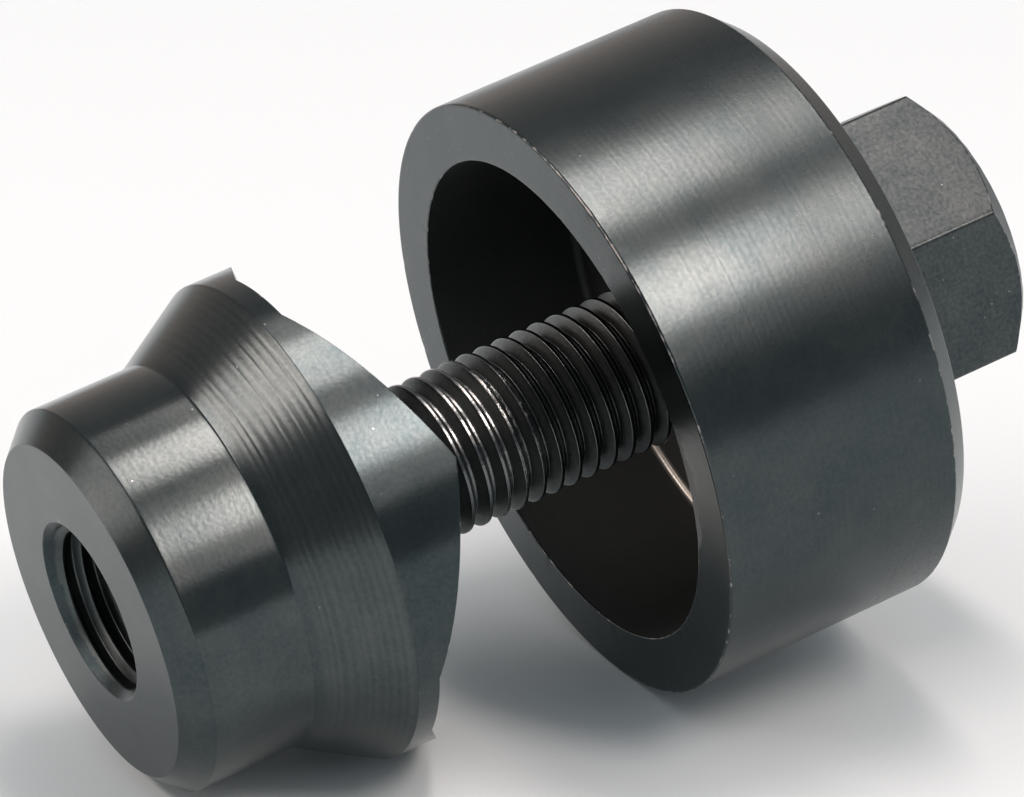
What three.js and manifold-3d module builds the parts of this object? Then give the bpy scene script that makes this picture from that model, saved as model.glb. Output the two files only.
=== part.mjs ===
// Screw punch for round holes in sheet metal: a punch with three cutting tips, a cup-shaped die,
// and a hexagon head screw that draws the punch through the sheet and into the die.
// Lengths are in millimetres, +Z is up. The tool lies on a bench, on the die's front edge and on
// the punch's cutting band, so its axis climbs a little from the punch to the screw's head.
// Stations are measured along that axis from the die's front face, growing towards the head.

import * as THREE from 'three';
import { mergeVertices } from 'three/addons/utils/BufferGeometryUtils.js';
import Module from 'manifold-3d';

const wasm = await Module();
wasm.setup();

// Driving dimensions of the hole and the die
const holeDiameter = 30.5;
const cuttingClearance = 0.3;
const dieWall = 3.65;
const dieLength = 17.2;
const dieFloor = 6.8;
const dieChamferDepth = 1.4;
const dieChamferWidth = 1.2;

// Driving dimensions of the punch
const tipHeight = 4.5;
const bandLength = 1.4;
const coneLength = 5.2;
const waistDiameter = 24.4;
const waistLength = 8.2;
const faceChamfer = 1.6;
const endDish = 0.8;
const countersinkWidth = 0.45;
const openDistance = 13;

// Driving dimensions of the draw screw
const shankDiameter = 10;
const crestDiameter = 9.86;
const threadPitch = 1.25;
const threadDepth = 0.75;
const crestWidth = 0.16;
const screwLength = 45;
const threadedLength = 36;
const tipChamfer = 1;
const acrossFlats = 17;
const headHeight = 10.7;
const headFaceDiameter = 16.2;
const washerFaceDiameter = 16;
const washerFaceHeight = 0.5;

// Clearances, and the overrun by which a cut or a joined piece runs past what it meets
const seatGap = 0.3;
const screwHoleClearance = 0.35;
const threadRootClearance = 0.3;
const threadCrestClearance = 0.4;
const threadFlankClearance = 0.2;
const overrun = 0.4;

// Angles, in radians
const flankAngle = THREE.MathUtils.degToRad(30);
const headChamferAngle = THREE.MathUtils.degToRad(40);
const valleyHalfAngle = THREE.MathUtils.degToRad(11);
const fullTurn = 2 * Math.PI;
const quarterTurn = fullTurn / 4;

// Counts
const tipCount = 3;
const hexSides = 6;
const roundSides = 72;
const screwSides = 36;
const threadSteps = 18;

// Sizes worked out from the driving dimensions
const punchRadius = holeDiameter / 2;
const dieBoreRadius = punchRadius + cuttingClearance;
const dieRadius = dieBoreRadius + dieWall;
const shankRadius = shankDiameter / 2;
const screwHoleRadius = shankRadius + screwHoleClearance;
const crestRadius = crestDiameter / 2;
const rootRadius = crestRadius - threadDepth;
const hexCornerRadius = acrossFlats / 2 / Math.cos(Math.PI / hexSides);

// Stations along the axis
const cupFloorStation = dieLength - dieFloor;
const headSeatStation = dieLength + seatGap;
const headEndStation = headSeatStation + headHeight;
const screwTipStation = headSeatStation - screwLength;
const threadEndStation = screwTipStation + threadedLength;
const tipStation = -openDistance;
const valleyStation = tipStation - tipHeight;
const shoulderStation = valleyStation - bandLength;
const waistStation = shoulderStation - coneLength;
const punchFaceStation = waistStation - waistLength;

// A closed geometry becomes a solid: its shared vertices are merged, collapsed triangles go, and
// its faces are turned outwards.
function toSolid(geometry) {
  const bare = geometry.clone();
  bare.deleteAttribute('normal');
  bare.deleteAttribute('uv');
  const merged = mergeVertices(bare);
  const points = merged.getAttribute('position');
  const corners = merged.getIndex().array;
  const a = new THREE.Vector3();
  const b = new THREE.Vector3();
  const c = new THREE.Vector3();
  const kept = [];
  let volume = 0;
  for (let i = 0; i < corners.length; i += 3) {
    const [p, q, r] = corners.slice(i, i + 3);
    if (p === q || q === r || r === p) continue;
    kept.push([p, q, r]);
    a.fromBufferAttribute(points, p);
    b.fromBufferAttribute(points, q);
    c.fromBufferAttribute(points, r);
    volume += a.dot(b.cross(c));
  }
  const outward = volume > 0 ? kept : kept.map(([p, q, r]) => [p, r, q]);
  return new wasm.Manifold(new wasm.Mesh({
    numProp: 3,
    vertProperties: new Float32Array(points.array),
    triVerts: new Uint32Array(outward.flat()),
  }));
}

// A solid becomes a named mesh with a material of its own.
function toMesh(name, solid, look) {
  const { numProp, vertProperties, triVerts } = solid.getMesh();
  const geometry = new THREE.BufferGeometry();
  const points = new THREE.InterleavedBufferAttribute(
    new THREE.InterleavedBuffer(vertProperties, numProp), 3, 0);
  const places = new Float32Array(points.count * 3);
  for (let i = 0; i < points.count; i += 1) {
    places.set([points.getX(i), points.getY(i), points.getZ(i)], 3 * i);
  }
  geometry.setAttribute('position', new THREE.BufferAttribute(places, 3));
  geometry.setIndex(new THREE.BufferAttribute(new Uint32Array(triVerts), 1));
  geometry.computeVertexNormals();
  const mesh = new THREE.Mesh(geometry, new THREE.MeshStandardMaterial(look));
  mesh.name = name;
  return mesh;
}

// A turned piece about the tool's axis, from an outline of [radius, station] points.
function turned(outline, sides, startAngle = 0) {
  const points = outline.map(([radius, station]) => new THREE.Vector2(radius, station));
  const geometry = new THREE.LatheGeometry(points, sides, startAngle, fullTurn);
  geometry.rotateZ(-quarterTurn);
  return toSolid(geometry);
}

// A closed geometry from its points and triangles.
function closedGeometry(points, triangles) {
  const geometry = new THREE.BufferGeometry();
  geometry.setAttribute('position', new THREE.Float32BufferAttribute(points.flat(), 3));
  geometry.setIndex(triangles.flat());
  return geometry;
}

// A point at a radius and station, at an angle that is zero straight down and turns with the
// right hand about the axis from the punch to the head.
function aroundAxis(radius, angle, station) {
  return [station, radius * Math.sin(angle), -radius * Math.cos(angle)];
}

// A right-handed threaded rod, from one pitch or more before the first station to one pitch or
// more past the last, as four strips that follow the helix: two flanks, the crest and the root.
// Each end is closed by a fan of triangles from a point on the axis.
function threadedRod(crest, root, crestHalfWidth, rootHalfWidth, first, last) {
  const section = [
    [root, -rootHalfWidth],
    [crest, -crestHalfWidth],
    [crest, crestHalfWidth],
    [root, rootHalfWidth],
  ];
  const firstTurn = Math.floor(first / threadPitch) - 2;
  const lastTurn = Math.ceil(last / threadPitch) + 2;
  const stepCount = (lastTurn - firstTurn) * threadSteps;
  const points = [];
  const triangles = [];
  const corner = (edge, step) => step * section.length + edge;
  for (let step = 0; step <= stepCount; step += 1) {
    const turn = firstTurn + step / threadSteps;
    for (const [radius, offset] of section) {
      points.push(aroundAxis(radius, turn * fullTurn, turn * threadPitch + offset));
    }
  }
  const strip = (low, high) => {
    triangles.push([low(0), low(1), high(1)], [low(0), high(1), high(0)]);
  };
  for (let step = 0; step < stepCount; step += 1) {
    for (let edge = 0; edge < section.length - 1; edge += 1) {
      strip((next) => corner(edge, step + next), (next) => corner(edge + 1, step + next));
    }
    if (step + threadSteps < stepCount) {
      const lastEdge = section.length - 1;
      strip((next) => corner(lastEdge, step + next), (next) => corner(0, step + threadSteps + next));
    }
  }
  const startLoop = [];
  const endLoop = [];
  for (let step = 0; step <= threadSteps; step += 1) {
    startLoop.push(corner(0, step));
    endLoop.push(corner(section.length - 1, stepCount - threadSteps + step));
  }
  for (let edge = section.length - 1; edge > 0; edge -= 1) startLoop.push(corner(edge, 0));
  for (let edge = section.length - 2; edge >= 0; edge -= 1) endLoop.push(corner(edge, stepCount));
  const startCentre = points.length;
  points.push(aroundAxis(0, 0, firstTurn * threadPitch));
  const endCentre = points.length;
  points.push(aroundAxis(0, 0, lastTurn * threadPitch));
  startLoop.forEach((place, i) => {
    triangles.push([startCentre, startLoop[(i + 1) % startLoop.length], place]);
  });
  endLoop.forEach((place, i) => {
    triangles.push([endCentre, place, endLoop[(i + 1) % endLoop.length]]);
  });
  return toSolid(closedGeometry(points, triangles));
}

// Die: a cup with a straight bore, a chamfered back edge and a hole for the screw in its floor.
// A flat of its faceted rim faces down.
function makeDie() {
  const outline = [
    [dieBoreRadius, 0],
    [dieRadius, 0],
    [dieRadius, dieLength - dieChamferDepth],
    [dieRadius - dieChamferWidth, dieLength],
    [screwHoleRadius, dieLength],
    [screwHoleRadius, cupFloorStation],
    [dieBoreRadius, cupFloorStation],
    [dieBoreRadius, 0],
  ];
  return turned(outline, roundSides, Math.PI / roundSides);
}

// Height of the punch's rim above the bottom of its three valleys. It climbs evenly from each
// valley's flat bottom to the tips, of which one points straight down.
function rimHeight(angle) {
  const spacing = fullTurn / tipCount;
  const fromTip = Math.abs(angle - spacing * Math.round(angle / spacing));
  const fromValley = spacing / 2 - fromTip;
  const climb = (fromValley - valleyHalfAngle) / (spacing / 2 - valleyHalfAngle);
  return tipHeight * Math.max(climb, 0);
}

// Punch without its hole: rings from the front face to the rim, and an end that runs in straight
// lines from the rim down to a point on the axis.
function makePunchBlank() {
  const waistRadius = waistDiameter / 2;
  const rings = [
    (angle) => aroundAxis(waistRadius - faceChamfer, angle, punchFaceStation),
    (angle) => aroundAxis(waistRadius, angle, punchFaceStation + faceChamfer),
    (angle) => aroundAxis(waistRadius, angle, waistStation),
    (angle) => aroundAxis(punchRadius, angle, shoulderStation),
    (angle) => aroundAxis(punchRadius, angle, valleyStation + rimHeight(angle)),
  ];
  const points = [];
  const triangles = [];
  for (const ring of rings) {
    for (let side = 0; side < roundSides; side += 1) {
      points.push(ring(side * fullTurn / roundSides));
    }
  }
  const faceCentre = points.length;
  points.push(aroundAxis(0, 0, punchFaceStation));
  const endCentre = points.length;
  points.push(aroundAxis(0, 0, valleyStation - endDish));
  for (let side = 0; side < roundSides; side += 1) {
    const next = (side + 1) % roundSides;
    for (let row = 0; row < rings.length - 1; row += 1) {
      const low = row * roundSides;
      const high = low + roundSides;
      triangles.push([low + side, low + next, high + next], [low + side, high + next, high + side]);
    }
    const rim = (rings.length - 1) * roundSides;
    triangles.push([faceCentre, next, side], [endCentre, rim + side, rim + next]);
  }
  return toSolid(closedGeometry(points, triangles));
}

// Punch: the blank with a threaded hole right through and a countersink at the front face. The
// thread leaves a clearance to the screw at its crests, its roots and both flanks.
function makePunch() {
  const holeCrest = rootRadius + threadCrestClearance;
  const holeRoot = crestRadius + threadRootClearance;
  const slope = Math.tan(flankAngle);
  const crestHalf = crestWidth / 2 + threadFlankClearance;
  const rootHalfWidth = crestHalf - threadRootClearance * slope;
  const crestHalfWidth = crestHalf + (crestRadius - holeCrest) * slope;
  const tapped = threadedRod(holeRoot, holeCrest, rootHalfWidth, crestHalfWidth,
    punchFaceStation, tipStation);
  const mouth = holeRoot + countersinkWidth;
  const countersink = turned([
    [0, punchFaceStation - overrun],
    [mouth + overrun, punchFaceStation - overrun],
    [holeCrest - overrun, punchFaceStation + mouth - holeCrest + overrun],
    [0, punchFaceStation + mouth - holeCrest + overrun],
  ], screwSides);
  return makePunchBlank().subtract(tapped).subtract(countersink);
}

// Draw screw: a chamfered hexagon head with a washer face, a plain shank where it turns in the
// die's floor, and a thread from there to a chamfered tip.
function makeScrew() {
  const hexagon = new THREE.Shape();
  for (let side = 0; side < hexSides; side += 1) {
    const angle = side * fullTurn / hexSides;
    const place = [hexCornerRadius * Math.cos(angle), hexCornerRadius * Math.sin(angle)];
    if (side === 0) hexagon.moveTo(...place);
    else hexagon.lineTo(...place);
  }
  hexagon.closePath();
  const prism = new THREE.ExtrudeGeometry(hexagon, { depth: headHeight, bevelEnabled: false });
  prism.rotateY(quarterTurn);
  prism.translate(headSeatStation, 0, 0);

  const headFaceRadius = headFaceDiameter / 2;
  const washerRadius = washerFaceDiameter / 2;
  const outerRadius = hexCornerRadius + overrun;
  const chamferDrop = (outerRadius - headFaceRadius) * Math.tan(headChamferAngle);
  const headBlank = turned([
    [0, headSeatStation],
    [washerRadius, headSeatStation],
    [washerRadius, headSeatStation + washerFaceHeight],
    [outerRadius, headSeatStation + washerFaceHeight],
    [outerRadius, headEndStation - chamferDrop],
    [headFaceRadius, headEndStation],
    [0, headEndStation],
  ], screwSides);
  const head = toSolid(prism).intersect(headBlank);

  const shank = turned([
    [0, threadEndStation],
    [shankRadius, threadEndStation],
    [shankRadius, headSeatStation + overrun],
    [0, headSeatStation + overrun],
  ], screwSides);

  const rootHalfWidth = crestWidth / 2 + threadDepth * Math.tan(flankAngle);
  const thread = threadedRod(crestRadius, rootRadius, crestWidth / 2, rootHalfWidth,
    screwTipStation, threadEndStation + overrun);
  const threadBlank = turned([
    [0, screwTipStation],
    [shankRadius - tipChamfer, screwTipStation],
    [shankRadius, screwTipStation + tipChamfer],
    [shankRadius, threadEndStation + overrun],
    [0, threadEndStation + overrun],
  ], screwSides);
  return head.add(shank).add(thread.intersect(threadBlank));
}

const die = toMesh('die_cup', makeDie(), { color: 0x2e3134, roughness: 0.42, metalness: 0.9 });
const punch = toMesh('punch', makePunch(), { color: 0x2b2e31, roughness: 0.4, metalness: 0.9 });
const screw = toMesh('draw_screw', makeScrew(), { color: 0x34373a, roughness: 0.5, metalness: 0.85 });

// The tool rests on a flat of the die's rim, at the front face, and on the punch where its cone
// meets the cutting band. The climb of the axis follows from those two radii.
const rimFlatRadius = dieRadius * Math.cos(Math.PI / roundSides);
const climbAngle = Math.atan2(rimFlatRadius - punchRadius, -shoulderStation);
const tool = new THREE.Group();
tool.add(die, punch, screw);
tool.rotation.y = -climbAngle;

const group = new THREE.Group();
group.add(tool);
group.updateMatrixWorld(true);
const extent = new THREE.Box3().setFromObject(group, true);
const middle = extent.getCenter(new THREE.Vector3());
tool.position.set(-middle.x, -middle.y, -extent.min.z);
group.updateMatrixWorld(true);

export default group;
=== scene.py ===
# %% [markdown]
# # A screw punch in black oxide steel
# The tool cuts round holes in sheet metal. It has three pieces: a punch with three cutting tips, a
# cup-shaped die, and a hexagon head screw that draws one into the other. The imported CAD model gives
# their places and sizes. This script loads it as a fixed frame, then puts a finer surface in the
# place of each CAD solid, because the facets of the solids would show in the highlights.

# %% Load the frame
import math

import bmesh
import bpy
import numpy as np
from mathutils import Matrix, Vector


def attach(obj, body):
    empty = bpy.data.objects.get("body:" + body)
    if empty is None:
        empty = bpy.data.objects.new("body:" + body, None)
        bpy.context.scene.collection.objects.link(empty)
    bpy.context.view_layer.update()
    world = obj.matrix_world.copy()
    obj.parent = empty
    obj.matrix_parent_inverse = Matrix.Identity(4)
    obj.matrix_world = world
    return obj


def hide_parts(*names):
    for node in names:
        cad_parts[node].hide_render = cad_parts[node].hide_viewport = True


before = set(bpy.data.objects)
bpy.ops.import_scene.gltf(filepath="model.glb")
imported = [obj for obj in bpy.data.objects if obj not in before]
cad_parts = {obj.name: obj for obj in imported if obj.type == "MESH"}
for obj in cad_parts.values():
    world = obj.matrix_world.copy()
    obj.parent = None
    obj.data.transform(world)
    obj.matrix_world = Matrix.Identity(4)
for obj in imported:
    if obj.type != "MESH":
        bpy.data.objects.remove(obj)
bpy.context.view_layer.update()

# %% [markdown]
# ## The tool's own axis
# The tool lies on the rim of its die and on its narrower punch, so its axis climbs. Every surface
# here is worked out in the tool's own terms: a station along the axis, counted from the die's front
# face towards the screw's head, a radius, and an angle round the axis that is zero straight down.
# One function turns these into points. It takes whole arrays, so a surface is a single call.

# %% The axis and its points
MM = 0.001
CLIMB = math.radians(11.751512)
FRONT = np.array([2.261616, 0.0, 18.779679]) * MM
AXIS = np.array([math.cos(CLIMB), 0.0, math.sin(CLIMB)])
SIDE = np.array([0.0, 1.0, 0.0])
RISE = np.array([-math.sin(CLIMB), 0.0, math.cos(CLIMB)])


def place(station, radius, angle):
    """Points of the tool: the middle of the die's front face, plus the station along the axis, plus
    the radius times the sine of the angle sideways, less the radius times its cosine upwards."""
    station, radius, angle = np.broadcast_arrays(station, radius, angle)
    along = station[..., None] * MM * AXIS
    across = (radius * np.sin(angle))[..., None] * MM * SIDE
    upwards = (-radius * np.cos(angle))[..., None] * MM * RISE
    return FRONT + along + across + upwards


print("front of the die in mm:", np.round(place(0.0, 0.0, 0.0) * 1000, 2))

# %% [markdown]
# ## Edges that catch the light
# No machined edge is perfectly sharp. A thin line of light along each edge tells the eye that it is
# steel, so each outline is drawn as straight lines with a small arc at each corner. The corners may
# differ from one angle round the axis to the next, as they do at the punch's tips. A few points sit
# close to each arc, so that smooth shading doesn't bend the light on the flats beside it.

# %% Outlines with round corners
def rounded_outline(corners, radii, wear, arc_steps=5, spacing=0.7, reach=0.09):
    """An outline of straight lines and arcs. Corners has the shape (corner, angle, 2) with radius
    and station in mm. At a corner the outline leaves its line one tangent length early, which is
    the arc's radius times the tangent of half the turn, follows the arc, and meets the next line.
    Returns the points, their lengths along the outline, and how close each is to a worn edge."""
    corners = np.asarray(corners, float)
    steps = np.diff(corners, axis=0)
    lengths = np.linalg.norm(steps, axis=-1, keepdims=True)
    ways = steps / np.maximum(lengths, 1e-9)
    pieces = []
    last = corners[0]
    for k in range(1, len(corners)):
        way = ways[k - 1]
        if k < len(corners) - 1 and radii[k] > 0:
            after = ways[k]
            cross = way[:, :1] * after[:, 1:] - way[:, 1:] * after[:, :1]
            turn = np.abs(np.arctan2(cross, np.sum(way * after, -1, keepdims=True)))
            normal = np.stack([-way[:, 1], way[:, 0]], -1) * np.sign(cross)
            tangent = radii[k] * np.tan(turn / 2)
            swing = turn[None] * np.linspace(0, 1, arc_steps + 1)[:, None, None]
            arc = corners[k] - way * tangent + radii[k] * (
                np.sin(swing) * way + (1 - np.cos(swing)) * normal)
        else:
            arc = corners[k][None]
        run = arc[0] - last
        size = np.linalg.norm(run, axis=-1).max()
        near = min(0.06 / max(size, 1e-6), 0.25)
        inner = np.linspace(near, 1 - near, max(2, int(size / spacing) + 1))
        shares = np.concatenate([[0.0] if k == 1 else [], inner])
        pieces += [last + run * shares[:, None, None], arc]
        last = arc[-1]
    points = np.concatenate(pieces)
    hops = np.linalg.norm(np.diff(points, axis=0), axis=-1)
    length = np.concatenate([np.zeros((1, points.shape[1])), np.cumsum(hops, 0)])
    edge = np.zeros_like(length)
    for corner, amount in zip(corners, wear):
        gap = np.linalg.norm(points - corner, axis=-1)
        edge = np.maximum(edge, amount * np.exp(-((gap / reach) ** 2)))
    return points, length, edge


# %% [markdown]
# ## From grids to meshes
# A surface is a grid of points: rows along the outline and columns round the axis. Four
# neighbouring points make a face. The seam, and poles where a row shrinks to one point, are closed
# by merging points that lie on each other. Five numbers go with each point for the materials: its
# length along the outline, which turning marks follow, how near it is to a worn edge, which on the
# die also carries a painted highlight and a painted reflection, how deep the turning marks are
# there, how much rougher than the rest it is, and how much paler, which in places is painted light
# and painted shade. What a surface doesn't name is zero, so the screw and the threaded hole have no
# turning marks.

# %% Grids become meshes
POINT_VALUES = ("along", "edge", "marks", "matt", "pale")


def grid_faces(rows, columns, start, wrap):
    """Four corners for each cell of a grid. Column by column they run to the next one, and with
    wrap the last column runs back to the first."""
    row, column = np.meshgrid(np.arange(rows - 1), np.arange(columns if wrap else columns - 1),
                              indexing="ij")
    after = (column + 1) % columns
    corners = [row * columns + column, row * columns + after,
               (row + 1) * columns + after, (row + 1) * columns + column]
    return np.stack(corners, -1).reshape(-1, 4) + start


def build(name, grids):
    """A mesh object from grids. Each grid is points of shape (row, column, 3), whether its columns
    wrap round, and named values that go with its points."""
    places, faces, start = [], [], 0
    values = {title: [] for title in POINT_VALUES}
    for points, wrap, given in grids:
        rows, columns = points.shape[:2]
        places.append(points.reshape(-1, 3))
        faces.append(grid_faces(rows, columns, start, wrap))
        for title, parts in values.items():
            parts.append(np.broadcast_to(given.get(title, 0.0), (rows, columns)).ravel())
        start += rows * columns
    places, faces = np.concatenate(places), np.concatenate(faces)
    mesh = bpy.data.meshes.new(name)
    mesh.vertices.add(len(places))
    mesh.vertices.foreach_set("co", places.astype(np.float32).ravel())
    mesh.loops.add(faces.size)
    mesh.loops.foreach_set("vertex_index", faces.astype(np.int32).ravel())
    mesh.polygons.add(len(faces))
    mesh.polygons.foreach_set("loop_start", np.arange(0, faces.size, 4, dtype=np.int32))
    mesh.update(calc_edges=True)
    for title, parts in values.items():
        attribute = mesh.attributes.new(title, "FLOAT", "POINT")
        attribute.data.foreach_set("value", np.concatenate(parts).astype(np.float32))
    close_seams(mesh)
    mesh.polygons.foreach_set("use_smooth", np.ones(len(mesh.polygons), bool))
    piece = bpy.data.objects.new(name, mesh)
    bpy.context.scene.collection.objects.link(piece)
    print(name, "faces:", len(mesh.polygons), "open edges:", open_edges(mesh))
    return piece


def close_seams(mesh):
    """Merges points that lie on each other, drops faces that have shrunk to nothing, and turns the
    faces outwards."""
    work = bmesh.new()
    work.from_mesh(mesh)
    bmesh.ops.remove_doubles(work, verts=work.verts, dist=2e-7)
    bmesh.ops.dissolve_degenerate(work, edges=work.edges, dist=1e-8)
    bmesh.ops.recalc_face_normals(work, faces=work.faces)
    work.to_mesh(mesh)
    work.free()


def open_edges(mesh):
    """The number of edges that don't lie between exactly two faces."""
    counts = np.zeros(len(mesh.edges), int)
    used = np.zeros(len(mesh.loops), np.int32)
    mesh.loops.foreach_get("edge_index", used)
    np.add.at(counts, used, 1)
    return int((counts != 2).sum())


def ring_of(count):
    """Angles of equal steps round the axis, without the last, which is the first again."""
    return np.linspace(0, 2 * math.pi, count, endpoint=False)


# %% [markdown]
# ## The die
# The die is a cup. The sheet metal bears on the flat ring at its mouth, and the punch pushes the
# cut-out slug into it. It could be made by turning an outline with a Screw modifier. A grid of the
# same outline is as short here, and lets the rim carry small nicks, which such tools soon have.
# The ring at the mouth is painted bright on one side: partly rubbed bare, partly a painted
# reflection of a lit table under the tool. The outer rim carries a painted highlight of bare steel
# where the lamps' band of light crosses it, the rounded corner of the cup's floor has a painted
# highlight where light falls in past the screw, and the inside of the cup is painted paler, painted
# light in its shade.

# %% Make the die
DIE_OUTSIDE = 19.18
DIE_BORE = 15.55
DIE_LENGTH = 17.2
CUP_FLOOR = 10.4
CUP_CORNER = 0.5
SCREW_HOLE = 5.35

die_corners = [
    (SCREW_HOLE + 0.3, DIE_LENGTH), (SCREW_HOLE, DIE_LENGTH - 0.3), (SCREW_HOLE, CUP_FLOOR + 0.3),
    (SCREW_HOLE + 0.3, CUP_FLOOR), (DIE_BORE, CUP_FLOOR), (DIE_BORE, 0.0), (DIE_OUTSIDE, 0.0),
    (DIE_OUTSIDE, DIE_LENGTH - 1.4), (DIE_OUTSIDE - 1.2, DIE_LENGTH),
    (SCREW_HOLE + 0.3, DIE_LENGTH)]
die_radii = [0, 0.05, 0.05, 0.05, CUP_CORNER, 0.09, 0.16, 0.14, 0.2, 0]
die_wear = [0, 0.2, 0, 0, 0, 0.6, 0.8, 0.5, 0.3, 0]


def nicks(angle, length, seed, count, depth, reach):
    """Small dents along an edge: each is a bell-shaped bump in angle, at a random place."""
    chance = np.random.default_rng(seed)
    middles = chance.uniform(0, 2 * math.pi, count)
    widths = chance.uniform(0.006, 0.02, count)
    depths = depth * chance.uniform(0.2, 1.0, count) ** 2
    apart = np.abs((angle[:, None] - middles + math.pi) % (2 * math.pi) - math.pi)
    bells = (depths * np.exp(-((apart / widths) ** 2))).sum(-1)
    return bells[None, :] * np.exp(-((length / reach) ** 2))


def bell(angle, middle, width):
    """A bell curve round the axis: one at the middle angle, small beyond the width. In degrees."""
    apart = (np.degrees(angle) - middle + 180) % 360 - 180
    return np.exp(-((apart / width) ** 2))


die_angles = ring_of(420)
outline, die_length, die_edge = rounded_outline(
    np.array(die_corners)[:, None, :], die_radii, die_wear)
outline = np.repeat(outline, len(die_angles), axis=1)
rim_gap = np.linalg.norm(outline[:, 0] - [DIE_OUTSIDE, 0.0], axis=-1)[:, None]
mouth_gap = np.linalg.norm(outline[:, 0] - [DIE_BORE, 0.0], axis=-1)[:, None]
dents = nicks(die_angles, rim_gap, seed=4, count=40, depth=0.045, reach=0.25)
chips = nicks(die_angles, mouth_gap, seed=9, count=30, depth=0.05, reach=0.3)
radius, station = outline[..., 0], outline[..., 1]
die_points = place(station + dents * 0.7 + chips * 0.8, radius - dents * 0.7 + chips * 0.6,
                   die_angles[None, :])

# Partly real wear and partly a painted reflection: bare steel on one side of the mouth's edge.
mouth_wear_and_painted_reflection = bell(die_angles, -91, 13) * np.exp(-((mouth_gap / 0.6) ** 2))
# A painted highlight: bare steel on the outer rim where the lamps' band of light crosses it.
rim_painted_highlight = bell(die_angles, -150, 26) * np.exp(-((rim_gap / 0.13) ** 2))
die_edge = die_edge + 3 * (dents + chips) + 2.2 * mouth_wear_and_painted_reflection + 0.5 * rim_painted_highlight

in_cup = (radius < DIE_BORE + 0.02) & (station > 0.1) & (station < CUP_FLOOR + 2)
in_corner = in_cup & (radius > DIE_BORE - CUP_CORNER) & (station > CUP_FLOOR - CUP_CORNER)
on_side = radius > DIE_OUTSIDE - 0.05
on_ring = (radius > DIE_BORE) & (station < 0.02)
# A painted highlight: the cup's rounded corner is paler and glossier where light falls in past the
# screw.
corner_painted_highlight = in_corner * bell(die_angles, 30, 24)
side_matt = 0.05 * np.clip(station / 6 - 1, 0, 1)
die = build("die_cup_turned", [(die_points, True, {
    "along": die_length, "edge": die_edge, "marks": np.where(on_side, 0.024, 0.02),
    "matt": np.where(in_cup, 0.4, np.where(on_side, side_matt, 0.02)) - 0.32 * corner_painted_highlight,
    # Painted light: the cup's inside is paler to lift its shade, its corner carries a painted
    # highlight, and one side of the mouth's ring a painted reflection.
    "pale": 3.0 * in_cup + 14 * corner_painted_highlight + 7 * on_ring * bell(die_angles, -93, 14)})])

# %% [markdown]
# ## Threads
# A screw thread is one ridge that climbs by a pitch in each turn. On a grid whose columns are each
# shifted a little further along the axis, the rows follow the ridge. They lie close together at the
# profile's corners, so that its crest and root stay flat and each catches a thin line of light. The
# shifted grid is cut off square at both ends by holding its stations between two limits, and the
# points that pile up there are merged. Each flat or rounding is a length in mm.

# %% The thread's profile
PITCH = 1.25
CREST = 4.93
ROOT = 4.18
SCREW_FLAT, SCREW_ROUNDING = 0.2, 0.02
HOLE_FLAT, HOLE_ROUNDING = 0.5, 0.04


def thread_depth(turns, flat, rounding):
    """How far below the crest the thread lies, from 0 at the crest to 1 at the root, for a place
    counted in turns. It is a flat crest, straight flanks at 30 degrees and a flat root, averaged
    over the rounding so that their corners are soft."""
    fine = np.linspace(-0.5, 0.5, 401)
    reach = (CREST - ROOT) * math.tan(math.radians(30))
    sharp = np.clip((np.abs(fine) * PITCH - flat / 2) / reach, 0, 1)
    width = max(1, int(rounding / PITCH * 400))
    window = np.hanning(2 * width + 1) / np.hanning(2 * width + 1).sum()
    soft = np.convolve(np.concatenate([sharp[:-1]] * 3), window, "same")[400:800]
    return np.interp((turns + 0.5) % 1.0, np.linspace(0, 1, 401), np.append(soft, soft[0]))


def shifted_stations(first, last, angles, steps):
    """Stations of a grid whose columns are shifted by one pitch in a full turn, held between the
    first station and the last. Steps are the places of the rows in a pitch, from 0 to 1."""
    begin = math.floor(np.min(first) / PITCH) - 1
    turns = np.arange(begin, math.ceil(np.max(last) / PITCH) + 1)[:, None]
    row = (turns + np.asarray(steps)[None, :]).reshape(-1, 1)
    return np.clip(PITCH * (row + angles[None, :] / (2 * math.pi)), first, last)


def both_halves(rows):
    """Places of rows in a pitch: those given for the first half, and their mirror image."""
    return rows + [1 - row for row in reversed(rows[1:])]


sample = thread_depth(np.array([0, 0.22, 0.5]), SCREW_FLAT, SCREW_ROUNDING)
print("thread depth at crest, flank and root:", np.round(sample, 2))

# %% [markdown]
# ## The punch
# The punch is turned from one bar: a flat front, a straight waist, a cone, and a short cutting band
# whose end is ground into three tips. The tips pierce the sheet first, so the cut spreads round
# from them and the screw needs less force. The rim's height is a function of the angle, and the
# hollow end runs in straight lines from the rim towards the axis. The cone keeps deep turning
# marks, and the waist and the band are ground smooth.

# %% Make the punch
FACE, CHAMFER_END, WAIST_END, SHOULDER = -32.3, -30.7, -24.1, -18.9
VALLEY, TIP_HEIGHT, DISH, VALLEY_FLAT = -17.5, 4.5, 0.8, math.radians(11)
WAIST, BAND = 12.2, 15.245
HOLE_CREST, HOLE_ROOT, MOUTH = ROOT + 0.4, CREST + 0.3, 5.68


def rim_height(angle):
    """Height of the rim over its valleys: nothing near a valley's middle, then an even climb to the
    nearest of three tips, the first of which points straight down."""
    spacing = 2 * math.pi / 3
    from_tip = np.abs(angle - spacing * np.round(angle / spacing))
    climb = (spacing / 2 - from_tip - VALLEY_FLAT) / (spacing / 2 - VALLEY_FLAT)
    return TIP_HEIGHT * np.clip(climb, 0, None)


def hole_radius(angle, station):
    """Radius of the threaded hole: its ridges point inwards, and its front end opens into a cone
    of 45 degrees."""
    turns = station / PITCH - angle / (2 * math.pi)
    depth = thread_depth(turns, HOLE_FLAT, HOLE_ROUNDING)
    return np.maximum(HOLE_ROOT - (HOLE_ROOT - HOLE_CREST) * depth, MOUTH - (station - FACE))


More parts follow.
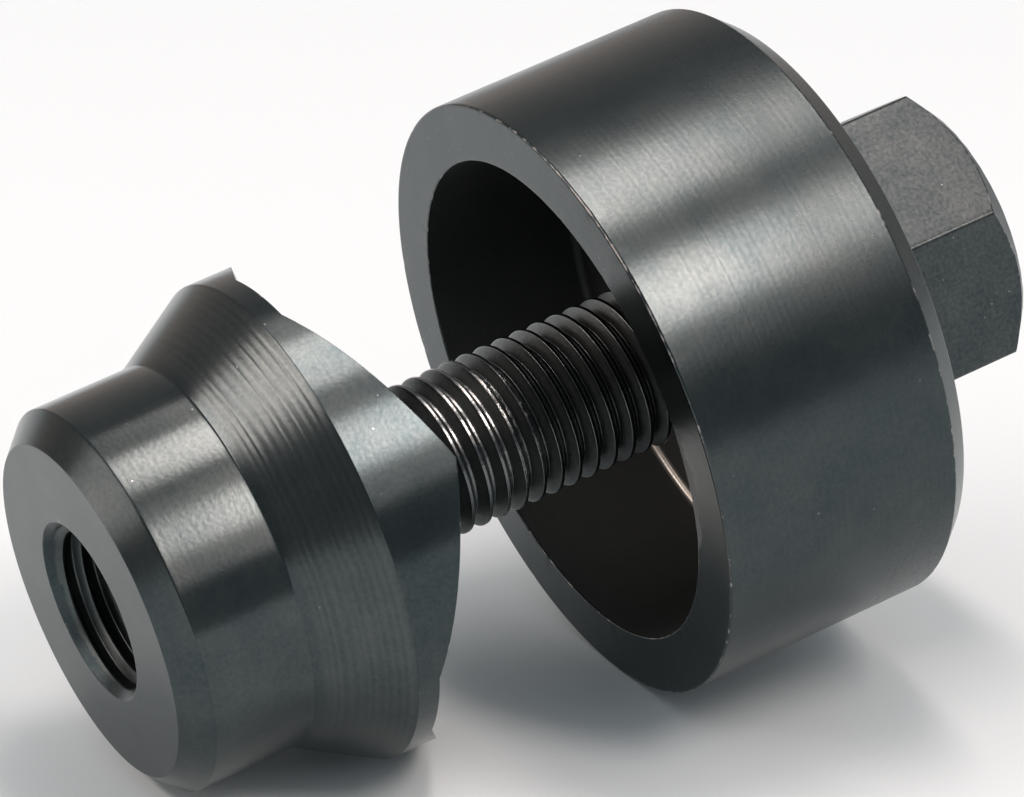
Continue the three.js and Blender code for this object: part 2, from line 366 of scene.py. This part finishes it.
punch_angles = np.linspace(0, 2 * math.pi, 361)
rim = VALLEY + rim_height(punch_angles)
hole_end = VALLEY - DISH + (rim - VALLEY + DISH) * 5.0 / BAND
end_radius = hole_radius(punch_angles, hole_end)
whole = np.ones_like(punch_angles)
punch_corners = np.stack([np.stack([r * whole, s * whole], -1) for r, s in (
    (MOUTH, FACE), (WAIST - 1.6, FACE), (WAIST, CHAMFER_END), (WAIST, WAIST_END), (BAND, SHOULDER),
    (BAND, rim), (end_radius, hole_end))])
outline, punch_length, punch_edge = rounded_outline(
    punch_corners, [0, 0.08, 0.12, 0.2, 0.07, 0.035, 0], [0.5, 0.2, 0.2, 0, 0.3, 0.6, 0])
radius, station = outline[..., 0], outline[..., 1]
outer = place(station, radius, punch_angles[None, :])
rows = both_halves([0.0, 0.1, 0.19, 0.22, 0.33, 0.44, 0.48])
hole_stations = shifted_stations(FACE, hole_end[None, :], punch_angles, rows)
hole = place(hole_stations, hole_radius(punch_angles, hole_stations), punch_angles)

on_face = station < CHAMFER_END - 0.05
on_waist = (station > CHAMFER_END + 0.05) & (station < WAIST_END - 0.05)
on_cone = (station > WAIST_END + 0.1) & (station < SHOULDER - 0.05) & (radius > WAIST)
on_band = radius > BAND - 0.02
in_mouth = hole_stations < FACE + 0.5
punch = build("punch_turned", [
    (outer, False, {
        "along": punch_length, "edge": punch_edge, "marks": np.where(on_cone, 0.07, 0.008),
        "matt": np.where(on_cone, 0.05, np.where(on_face, 0.06, 0.02 * on_band)),
        "pale": 0.3 * on_waist + 0.6 * on_cone - 0.3 * on_band}),
    # Painted shade: the cone at the hole's mouth is darker. The thread inside is paler.
    (hole, False, {"matt": 0.16, "pale": np.where(in_mouth, -0.8, 0.7)})])

# %% [markdown]
# ## The draw screw
# The screw's thread fills the punch, its plain shank turns in the die's floor, and its hexagon
# takes a wrench. Real threads end in a short run-out where the cutting die stops, and start with a
# chamfer. Flat discs close both ends of the threaded part. Head and shank share their angles,
# which crowd at the hexagon's corners to round them.

# %% Make the screw's thread
SCREW_TIP, THREAD_END, SHANK = -27.5, 8.5, 4.995
RUN_OUT, TIP_RADIUS = 1.6, 4.0

thread_angles = np.linspace(0, 2 * math.pi, 97)
rows = both_halves(
    [0.0, 0.05, 0.063, 0.08, 0.097, 0.12, 0.2, 0.3, 0.39, 0.41, 0.426, 0.442, 0.46])
stations = shifted_stations(SCREW_TIP, THREAD_END, thread_angles, rows)
turns = stations / PITCH - thread_angles / (2 * math.pi)
depth = thread_depth(turns, SCREW_FLAT, SCREW_ROUNDING)
run_out = np.clip((THREAD_END - stations) / RUN_OUT, 0, 1)
crest = CREST + (SHANK - CREST) * (1 - run_out)
chamfer = TIP_RADIUS + stations - SCREW_TIP
radius = np.minimum(crest - (CREST - ROOT) * depth * run_out, chamfer)
shares = np.linspace(0, 1, 5)[:, None]
thread = build("screw_thread", [
    (place(stations, radius, thread_angles), False, {
        "edge": 0.2 * np.clip(1 - 4 * depth, 0, 1) * run_out,
        "matt": 0.3 * np.clip(8 * depth * (1 - depth), 0, 1),
        # Painted light: the thread is paler towards and inside the die, where the die keeps the
        # lamps' light off it.
        "pale": 3.0 * np.clip((stations + 12) / 6, 0, 1)}),
    (place(SCREW_TIP, radius[0] * shares, thread_angles), False, {}),
    (place(THREAD_END, radius[-1] * shares, thread_angles), False, {})])

# %% [markdown]
# The hexagon could be a six-sided prism with a Bevel modifier. Here its outline is worked out once
# for a sixth of a turn, with a small arc in the corner, and repeated. The conical chamfer then
# follows by lowering the top of each side with its distance from the axis.

# %% Make the screw's head and shank
HALF_FLATS, SEAT, HEAD_END, WASHER, HEAD_FACE = 8.5, 17.5, 28.2, 8.0, 8.1


def hexagon(corner_arc, side_points, arc_points):
    """Angles and radii of a hexagon with round corners, whose corners are at multiples of a sixth
    of a turn. Each side runs at a fixed distance from the axis, and each corner is a small arc."""
    middle = (HALF_FLATS - corner_arc) / math.cos(math.pi / 6)
    swing = np.linspace(-math.pi / 6, math.pi / 6, arc_points)
    arc = np.stack([middle + corner_arc * np.cos(swing), corner_arc * np.sin(swing)], -1)
    first = arc[-1]
    turn = math.pi / 3
    spin = np.array([[math.cos(turn), math.sin(turn)], [-math.sin(turn), math.cos(turn)]])
    final = arc[0] @ spin
    side = first + (final - first) * np.linspace(0.03, 0.97, side_points)[:, None]
    sixth = np.concatenate([arc, side])
    angle = np.arctan2(sixth[:, 1], sixth[:, 0])
    size = np.linalg.norm(sixth, axis=-1)
    turns = np.arange(6)[:, None] * turn
    return (angle[None, :] + turns).ravel(), np.tile(size, 6)


head_angles, hex_radius = hexagon(0.35, 7, 7)
whole = np.ones_like(head_angles)
drop = (hex_radius - HEAD_FACE) * math.tan(math.radians(40))
head_corners = np.stack([np.stack([r * whole, s * whole], -1) for r, s in (
    (0.0, THREAD_END), (SHANK, THREAD_END), (SHANK, SEAT), (WASHER, SEAT), (WASHER, SEAT + 0.5),
    (hex_radius, SEAT + 0.5), (hex_radius, HEAD_END - drop), (HEAD_FACE, HEAD_END),
    (0.0, HEAD_END))])
outline, _, head_edge = rounded_outline(
    head_corners, [0, 0, 0.15, 0.08, 0.08, 0.1, 0.1, 0.12, 0], [0, 0, 0, 0, 0, 0.4, 0.55, 0.4, 0])
radius, station = outline[..., 0], outline[..., 1]
on_end_cone = (station > HEAD_END - drop + 0.05) & (station < HEAD_END - 0.02)
on_end_cone = on_end_cone & (radius > HEAD_FACE - 0.05)
head = build("screw_head", [
    (place(station, radius, head_angles), True, {"edge": head_edge, "pale": -1.0 * on_end_cone})])

# %% [markdown]
# ## Pieces on their bodies
# Each finer piece rides on the CAD body that it belongs to, and the CAD solid in its place is
# hidden.

# %% Put the pieces on their bodies
for piece, body, node, finish in (
        (die, "die_body", "die_cup", "die_steel"),
        (punch, "punch_body", "punch", "punch_steel"),
        (thread, "screw_body", "draw_screw", "screw_steel"),
        (head, "screw_body", "draw_screw", "screw_steel")):
    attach(piece, body)
    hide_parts(node)

# %% [markdown]
# ## Node groups
# Turning marks, clouds in the black finish, bare metal on edges, which on the die is also painted
# highlights and painted reflections, and specks of dust show on every piece. Each is one group of
# nodes with named inputs, so the pieces share it and only the numbers differ. These two helpers keep
# the cells that follow short.

# %% Helpers for nodes
def new_group(name, inputs, outputs):
    """An empty group of shader nodes with the given inputs and outputs. Each input has a name, a
    kind and its start value."""
    group = bpy.data.node_groups.new(name, "ShaderNodeTree")
    for title, kind, value in inputs:
        socket = group.interface.new_socket(title, in_out="INPUT", socket_type=kind)
        if value is not None:
            socket.default_value = value
    for title, kind in outputs:
        group.interface.new_socket(title, in_out="OUTPUT", socket_type=kind)
    return group, group.nodes.new("NodeGroupInput"), group.nodes.new("NodeGroupOutput")


def add(tree, kind, settings=None, **values):
    """A node of a kind, with its settings, and with each named or numbered input set to a value or
    joined to another node's output. Names have underscores for spaces, and numbers start with i."""
    node = tree.nodes.new(kind)
    for title, value in (settings or {}).items():
        setattr(node, title, value)
    for title, value in values.items():
        numbered = title[0] == "i" and title[1:].isdigit()
        socket = node.inputs[int(title[1:]) if numbered else title.replace("_", " ")]
        if isinstance(value, bpy.types.NodeSocket):
            tree.links.new(value, socket)
        else:
            socket.default_value = value
    return node


def maths(tree, operation, first, second=0.0, third=0.0):
    """The output of a Math node."""
    node = add(tree, "ShaderNodeMath", {"operation": operation}, i0=first, i1=second, i2=third)
    return node.outputs[0]


# %% [markdown]
# Turning leaves rings as far apart as the tool moves in one turn. A sine along the outline gives
# them, pushed to and fro by a noise so that they aren't too even. A second noise with one dimension
# adds finer rings of random depth. Both are the same all the way round.

# %% Turning marks
marks_group, start, end = new_group(
    "turning marks",
    [("Along", "NodeSocketFloat", 0.0), ("Fine rings per mm", "NodeSocketFloat", 9.0),
     ("Coarse rings per mm", "NodeSocketFloat", 2.0), ("Coarse share", "NodeSocketFloat", 0.5)],
    [("Height", "NodeSocketFloat")])
one = {"noise_dimensions": "1D"}
fine = add(marks_group, "ShaderNodeTexNoise", one, Scale=1.0, Detail=2.0,
           W=maths(marks_group, "MULTIPLY", start.outputs[0], start.outputs[1]))
drift = add(marks_group, "ShaderNodeTexNoise", one, Scale=1.0, Detail=2.0, W=start.outputs[0])
turned = maths(marks_group, "MULTIPLY", start.outputs[0], start.outputs[2])
turned = maths(marks_group, "MULTIPLY_ADD", turned, 2 * math.pi,
               maths(marks_group, "MULTIPLY", drift.outputs[0], 5.0))
coarse = maths(marks_group, "MULTIPLY", maths(marks_group, "SINE", turned), drift.outputs[0])
both = add(marks_group, "ShaderNodeMix", {"data_type": "FLOAT"}, i0=start.outputs[3],
           i2=fine.outputs[0], i3=coarse).outputs[0]
marks_group.links.new(both, end.inputs[0])
print("turning marks:", len(marks_group.nodes), "nodes")

# %% [markdown]
# Black oxide is a thin film that takes a little differently from place to place, and oil dries on
# it in patches. This gives soft clouds. Polishing on the lathe adds short fine streaks round the
# axis: a noise whose coordinates change quickly along the axis and slowly across it.

# %% Clouds and streaks in the black finish
cloud_group, start, end = new_group(
    "clouds and streaks",
    [("Vector", "NodeSocketVector", None), ("Size", "NodeSocketFloat", 1.0),
     ("Stretch", "NodeSocketFloat", 5.0), ("Streaks", "NodeSocketFloat", 0.4)],
    [("Tone", "NodeSocketFloat"), ("Gloss", "NodeSocketFloat"), ("Grain", "NodeSocketFloat")])
sized = add(cloud_group, "ShaderNodeVectorMath", {"operation": "SCALE"}, i0=start.outputs[0],
            Scale=start.outputs[1]).outputs[0]
apart = add(cloud_group, "ShaderNodeSeparateXYZ", i0=sized)
quick = maths(cloud_group, "MULTIPLY", apart.outputs[0], start.outputs[2])
stretched = add(cloud_group, "ShaderNodeCombineXYZ", i0=quick, i1=apart.outputs[1],
                i2=apart.outputs[2]).outputs[0]
clouds = add(cloud_group, "ShaderNodeTexNoise", Vector=sized, Scale=0.25, Detail=5.0, Roughness=0.6)
streaks = add(cloud_group, "ShaderNodeTexNoise", Vector=stretched, Scale=1.1, Detail=3.0,
              Roughness=0.6)
gloss = add(cloud_group, "ShaderNodeTexNoise", Vector=sized, Scale=0.6, Detail=6.0, Roughness=0.7)
grain = add(cloud_group, "ShaderNodeTexNoise", Vector=sized, Scale=4.0, Detail=2.0, Roughness=0.5)
mixed = add(cloud_group, "ShaderNodeMix", {"data_type": "FLOAT"}, i0=start.outputs[3],
            i2=clouds.outputs[0], i3=streaks.outputs[0])
for number, texture in enumerate((mixed, gloss, grain)):
    ranged = add(cloud_group, "ShaderNodeMapRange", Value=texture.outputs[0], From_Min=0.3,
                 From_Max=0.7)
    cloud_group.links.new(ranged.outputs[0], end.inputs[number])
print("clouds and streaks:", len(cloud_group.nodes), "nodes")

# %% [markdown]
# The film wears off where the tool is handled and knocked, first along its edges, and never evenly.
# The nearness to an edge is a number on each point, which on the die also carries a painted
# highlight on the outer rim and a painted reflection at the mouth. A noise raises or lowers it, and
# what passes a limit is bare.

# %% Bare metal on worn edges and painted highlights
wear_and_painted_light_group, start, end = new_group(
    "edge wear and painted light",
    [("Edge", "NodeSocketFloat", 0.0), ("Vector", "NodeSocketVector", None),
     ("Amount", "NodeSocketFloat", 0.5), ("Break size", "NodeSocketFloat", 1.0)],
    [("Bare and painted light", "NodeSocketFloat")])
ragged = add(wear_and_painted_light_group, "ShaderNodeTexNoise", Vector=start.outputs[1], Scale=start.outputs[3],
             Detail=5.0, Roughness=0.65)
pull = maths(wear_and_painted_light_group, "MULTIPLY_ADD", ragged.outputs[0], 2.4, -1.2)
near = maths(wear_and_painted_light_group, "ADD", start.outputs[0], pull)
past = maths(wear_and_painted_light_group, "SUBTRACT", near, maths(wear_and_painted_light_group, "SUBTRACT", 1.0, start.outputs[2]))
bare_and_painted_light = add(wear_and_painted_light_group, "ShaderNodeMapRange", {"interpolation_type": "SMOOTHSTEP"}, Value=past,
           From_Min=0.0, From_Max=0.35)
close_by = maths(wear_and_painted_light_group, "MULTIPLY", start.outputs[0], 4.0)
touching = maths(wear_and_painted_light_group, "MULTIPLY", bare_and_painted_light.outputs[0],
                 maths(wear_and_painted_light_group, "MINIMUM", close_by, 1.0))
wear_and_painted_light_group.links.new(touching, end.inputs[0])
print("edge wear and painted light:", len(wear_and_painted_light_group.nodes), "nodes")

# %% [markdown]
# Specks of dust and tiny pits that shine are points scattered at random. A Voronoi texture gives a
# point in each cell, and only the cells with a high random number show theirs.

# %% Specks
speck_group, start, end = new_group(
    "specks",
    [("Vector", "NodeSocketVector", None), ("Cells per mm", "NodeSocketFloat", 1.6),
     ("Share", "NodeSocketFloat", 0.1), ("Radius", "NodeSocketFloat", 0.12)],
    [("Speck", "NodeSocketFloat")])
cells = add(speck_group, "ShaderNodeTexVoronoi", Vector=start.outputs[0], Scale=start.outputs[1])
draw = add(speck_group, "ShaderNodeSeparateXYZ", i0=cells.outputs["Color"])
chosen = maths(speck_group, "LESS_THAN", draw.outputs[0], start.outputs[2])
close = maths(speck_group, "LESS_THAN", cells.outputs["Distance"], start.outputs[3])
speck_group.links.new(maths(speck_group, "MULTIPLY", chosen, close), end.inputs[0])
print("specks:", len(speck_group.nodes), "nodes")

# %% [markdown]
# ## Black oxide steel
# The finish is steel with a thin blue-black film. It mirrors its surroundings weakly, so it is a
# metal with a very dark, slightly cold colour. Worn edges are a metal too, with the colour of bare
# steel, which on the die is also a painted highlight and a painted reflection. Paler values make the
# film paler, in places as painted light and painted shade. The turning marks tint the film as well
# as dent it, because their tops are rubbed. The coordinates are turned to the tool's own axis by a
# Mapping node and counted in mm.

# %% Make the steels
BARE_STEEL_AND_PAINTED_LIGHT = (0.30, 0.30, 0.295, 1.0)
BARE_MATT = 0.25
SPECK_SHARE, SPECK_RADIUS = 0.6, 0.09
RING_TINT = 7.0
RING_HEIGHT, GRAIN_HEIGHT = 0.05, 0.003


def black_steel(name, dark, light, rough, fine=9.0, coarse_share=0.5, stretch=9.0,
                streaks=0.3, worn=0.5, break_size=1.0, specks=0.03, grain=0.3, mottle=0.6):
    """A black oxide steel. Dark and light are the colours between which its clouds lie, and rough
    its lowest and highest roughness. Mottle is how much the fine grain tints the film, and grain
    how much it dents it."""
    steel = bpy.data.materials.new(name)
    steel.use_nodes = True
    tree = steel.node_tree
    shader = tree.nodes["Principled BSDF"]
    shader.inputs["Metallic"].default_value = 1.0
    here = add(tree, "ShaderNodeTexCoord").outputs["Object"]
    local = add(tree, "ShaderNodeMapping", {"vector_type": "TEXTURE"}, Vector=here,
                Location=FRONT.tolist(), Rotation=(0.0, -CLIMB, 0.0), Scale=(MM, MM, MM)).outputs[0]
    along, edge, marks, matt, pale = (
        add(tree, "ShaderNodeAttribute", {"attribute_name": title}).outputs["Fac"]
        for title in POINT_VALUES)
    clouds = add(tree, "ShaderNodeGroup", {"node_tree": cloud_group}, Vector=local,
                 Stretch=stretch, Streaks=streaks)
    rings = add(tree, "ShaderNodeGroup", {"node_tree": marks_group}, Along=along,
                Fine_rings_per_mm=fine, Coarse_share=coarse_share)
    bare_and_painted_light = add(tree, "ShaderNodeGroup", {"node_tree": wear_and_painted_light_group}, Edge=edge, Vector=local,
               Amount=worn, Break_size=break_size).outputs[0]
    speck = add(tree, "ShaderNodeGroup", {"node_tree": speck_group}, Vector=local,
                Share=specks, Radius=SPECK_RADIUS).outputs[0]

    tone = maths(tree, "MULTIPLY_ADD", clouds.outputs["Grain"], mottle, clouds.outputs["Tone"])
    # Pale lifts the film's tone; in places that is painted light and painted shade.
    tone = maths(tree, "ADD", maths(tree, "SUBTRACT", tone, mottle / 2), pale)
    ringed = maths(tree, "MULTIPLY", rings.outputs["Height"], marks)
    tone = maths(tree, "MULTIPLY_ADD", ringed, RING_TINT, tone)
    film = add(tree, "ShaderNodeMix", {"data_type": "RGBA", "clamp_factor": False}, i0=tone,
               i6=(*dark, 1.0), i7=(*light, 1.0)).outputs[2]
    # Bare steel shows where edges wear and, on the die, as painted highlights and painted
    # reflections.
    shine = maths(tree, "MAXIMUM", bare_and_painted_light, maths(tree, "MULTIPLY", speck, SPECK_SHARE))
    colour = add(tree, "ShaderNodeMix", {"data_type": "RGBA"}, i0=shine, i6=film,
                 i7=BARE_STEEL_AND_PAINTED_LIGHT).outputs[2]
    tree.links.new(colour, shader.inputs["Base Color"])

    film_matt = add(tree, "ShaderNodeMapRange", Value=clouds.outputs["Gloss"], To_Min=rough[0],
                    To_Max=rough[1]).outputs[0]
    dull = maths(tree, "MULTIPLY_ADD", bare_and_painted_light, BARE_MATT, maths(tree, "ADD", film_matt, matt))
    tree.links.new(dull, shader.inputs["Roughness"])

    uneven = maths(tree, "MULTIPLY_ADD", clouds.outputs["Grain"], grain * GRAIN_HEIGHT,
                   maths(tree, "MULTIPLY", ringed, RING_HEIGHT))
    bump = add(tree, "ShaderNodeBump", Height=uneven, Distance=MM, Strength=1.0)
    tree.links.new(bump.outputs[0], shader.inputs["Normal"])
    return steel


die_steel = black_steel("die_black_steel", (0.043, 0.056, 0.059), (0.060, 0.072, 0.073),
                        (0.21, 0.24), coarse_share=0.7, worn=0.50, break_size=0.9,
                        streaks=0.15, grain=0.4, mottle=0.5)
punch_steel = black_steel("punch_black_steel", (0.041, 0.054, 0.057), (0.062, 0.074, 0.075),
                          (0.155, 0.18), fine=6.0, coarse_share=0.95,
                          worn=0.42, streaks=0.12, mottle=0.5)
# The thread's steel is paler than the punch's and the head's: painted light that lifts the shade it
# lies in between punch and die.
thread_steel = black_steel("thread_black_steel", (0.058, 0.070, 0.073), (0.080, 0.092, 0.094),
                           (0.13, 0.16), stretch=1.0, worn=0.30, break_size=1.4,
                           grain=2.2, mottle=1.2)
head_steel = black_steel("head_black_steel", (0.041, 0.052, 0.055), (0.069, 0.079, 0.080),
                         (0.27, 0.35), stretch=1.0, worn=0.47, specks=0.2,
                         grain=0.8, mottle=0.9)
for piece, steel in ((die, die_steel), (punch, punch_steel), (thread, thread_steel),
                     (head, head_steel)):
    piece.data.materials.append(steel)
print("steels:", [steel.name for steel in bpy.data.materials if steel.users])

# %% [markdown]
# ## The studio
# A black surface shows little but reflections, so its light bands are pictures of the lamps. Each
# lamp here is an ellipse, which makes a band with soft sides. A bright one inside a wide dim one is
# softer still. They hang level over the table, and one stands low on the left. The camera looks
# from the left, so what a round side mirrors from further in front also lies further right, and
# the front lamps are turned to follow that line. The table is paper white: the paper's colour is
# faintly blue, because the lamps are warm.

# %% Table and lamps
def table_top(size, cells):
    """A square grid of points at height zero, size metres wide, whose faces look up."""
    steps = np.linspace(-size / 2, size / 2, cells + 1)
    deep, across = np.meshgrid(steps, steps, indexing="ij")
    return np.stack([across, deep, 0 * across], -1)


table = build("table", [(table_top(8.0, 8), False, {})])
if table.data.polygons[0].normal.z < 0:
    table.data.flip_normals()
paper = bpy.data.materials.new("white_paper")
paper.use_nodes = True
for title, value in (("Base Color", (0.85, 0.95, 0.98, 1)), ("Roughness", 0.9),
                     ("Specular IOR Level", 0.0)):
    paper.node_tree.nodes["Principled BSDF"].inputs[title].default_value = value
table.data.materials.append(paper)

LAMP_COLOUR = (1.0, 0.82, 0.76)
TOOL_MIDDLE = Vector((0, 0, 0.018))


def lamp(name, middle, size, brightness, turn=0.0):
    """An elliptical lamp that looks straight down, turned by some degrees. A lamp's power is the
    brightness of its face times pi times its area, which for an ellipse is pi times the two half
    widths."""
    light = bpy.data.lights.new(name, "AREA")
    light.shape = "ELLIPSE"
    light.size, light.size_y = size
    light.energy = brightness * math.pi * math.pi * size[0] * size[1] / 4
    light.color = LAMP_COLOUR
    holder = bpy.data.objects.new(name, light)
    holder.location = middle
    holder.rotation_euler.z = math.radians(turn)
    bpy.context.scene.collection.objects.link(holder)
    return holder


def aim(holder, way):
    """Turns a lamp or a camera to look along a direction, with its own top upwards."""
    holder.rotation_mode = "QUATERNION"
    holder.rotation_quaternion = way.to_track_quat("-Z", "Y")


lamp("lamp_overhead", (0.077, 0.050, 0.600), (0.115, 0.290), 11.2)
lamp("lamp_overhead_soft", (0.085, 0.112, 0.602), (0.060, 0.658), 4.0)
lamp("lamp_front", (0.151, -0.460, 0.600), (0.096, 0.410), 20.0, turn=13.5)
lamp("lamp_front_soft", (0.200, -0.700, 0.602), (0.170, 1.150), 2.4, turn=14)
lamp("lamp_behind_left", (-0.592, 0.153, 0.600), (0.158, 0.800), 9.2)
low_lamp = lamp("lamp_left", (-0.645, 0.244, 0.158), (0.498, 0.270), 3.2)
aim(low_lamp, TOOL_MIDDLE - low_lamp.location)
print("lamps:", [light.name for light in bpy.data.lights])

# %% [markdown]
# The room is what the steel mirrors where there is no lamp and no table. It is dark in front and
# dark at the left, brighter and warmer behind, and even overhead. Each direction's level is a blend
# of these, by how far it points back, how far it points left, and how high.

# %% The room
AT_HORIZON, ADDED_BEHIND, ADDED_LEFT, AT_TOP, DARKEST = 0.42, 0.16, -0.25, 0.39, 0.02

room = bpy.data.worlds.new("studio_room")
room.use_nodes = True
tree = room.node_tree
direction = add(tree, "ShaderNodeTexCoord").outputs["Generated"]
height = maths(tree, "MAXIMUM", add(tree, "ShaderNodeSeparateXYZ", i0=direction).outputs[2], 0.0)
level = add(tree, "ShaderNodeVectorMath", {"operation": "MULTIPLY"}, i0=direction, i1=(1, 1, 0))
flat = add(tree, "ShaderNodeVectorMath", {"operation": "NORMALIZE"}, i0=level.outputs[0])
flat = add(tree, "ShaderNodeSeparateXYZ", i0=flat.outputs[0])
behind = maths(tree, "MULTIPLY_ADD", flat.outputs[1], 0.5, 0.5)
left = maths(tree, "MULTIPLY_ADD", flat.outputs[0], -0.5, 0.5)
horizon = maths(tree, "MULTIPLY_ADD", behind, ADDED_BEHIND, AT_HORIZON)
horizon = maths(tree, "MULTIPLY_ADD", left, ADDED_LEFT, horizon)
shade = add(tree, "ShaderNodeMix", {"data_type": "FLOAT"}, i0=height, i2=horizon,
            i3=AT_TOP).outputs[0]
warmth = maths(tree, "MULTIPLY", behind, maths(tree, "SUBTRACT", 1.0, height))
tint = add(tree, "ShaderNodeMix", {"data_type": "RGBA"}, i0=warmth, i6=(0.95, 1.0, 1.06, 1.0),
           i7=(1.18, 1.0, 0.90, 1.0)).outputs[2]
shade = maths(tree, "MAXIMUM", shade, DARKEST)
tree.links.new(shade, tree.nodes["Background"].inputs["Strength"])
tree.links.new(tint, tree.nodes["Background"].inputs["Color"])
bpy.context.scene.world = room
print("room:", len(tree.nodes), "nodes")

# %% [markdown]
# ## The camera
# The photograph was taken from the left and above through a long lens. The angles and the distance
# come from a fit of the CAD model's edges to the edges in the photograph.

# %% Place the camera
VIEW_TURN, VIEW_HEIGHT, DISTANCE = math.radians(-29.194), math.radians(24.242), 0.4058
SHIFT_LEFT, SHIFT_UP = 0.000892, 0.001315
SENSOR, PHOTO_WIDTH, FOCAL_PIXELS = 36.0, 1024, 6749

ahead = Vector((-math.sin(VIEW_TURN) * math.cos(VIEW_HEIGHT),
                math.cos(VIEW_TURN) * math.cos(VIEW_HEIGHT), -math.sin(VIEW_HEIGHT)))
rightwards = Vector((math.cos(VIEW_TURN), math.sin(VIEW_TURN), 0.0))
upwards = rightwards.cross(ahead)
camera = bpy.data.objects.new("camera", bpy.data.cameras.new("camera"))
bpy.context.scene.collection.objects.link(camera)
camera.location = (TOOL_MIDDLE - SHIFT_LEFT * rightwards + SHIFT_UP * upwards
                   - DISTANCE * ahead)
aim(camera, ahead)
camera.data.sensor_width = SENSOR
camera.data.lens = SENSOR * FOCAL_PIXELS / PHOTO_WIDTH
camera.data.clip_start, camera.data.clip_end = 0.01, 50.0
bpy.context.scene.camera = camera
bpy.context.scene.view_settings.view_transform = "Standard"
print("camera at", [round(v, 3) for v in camera.location], "lens", round(camera.data.lens, 1))
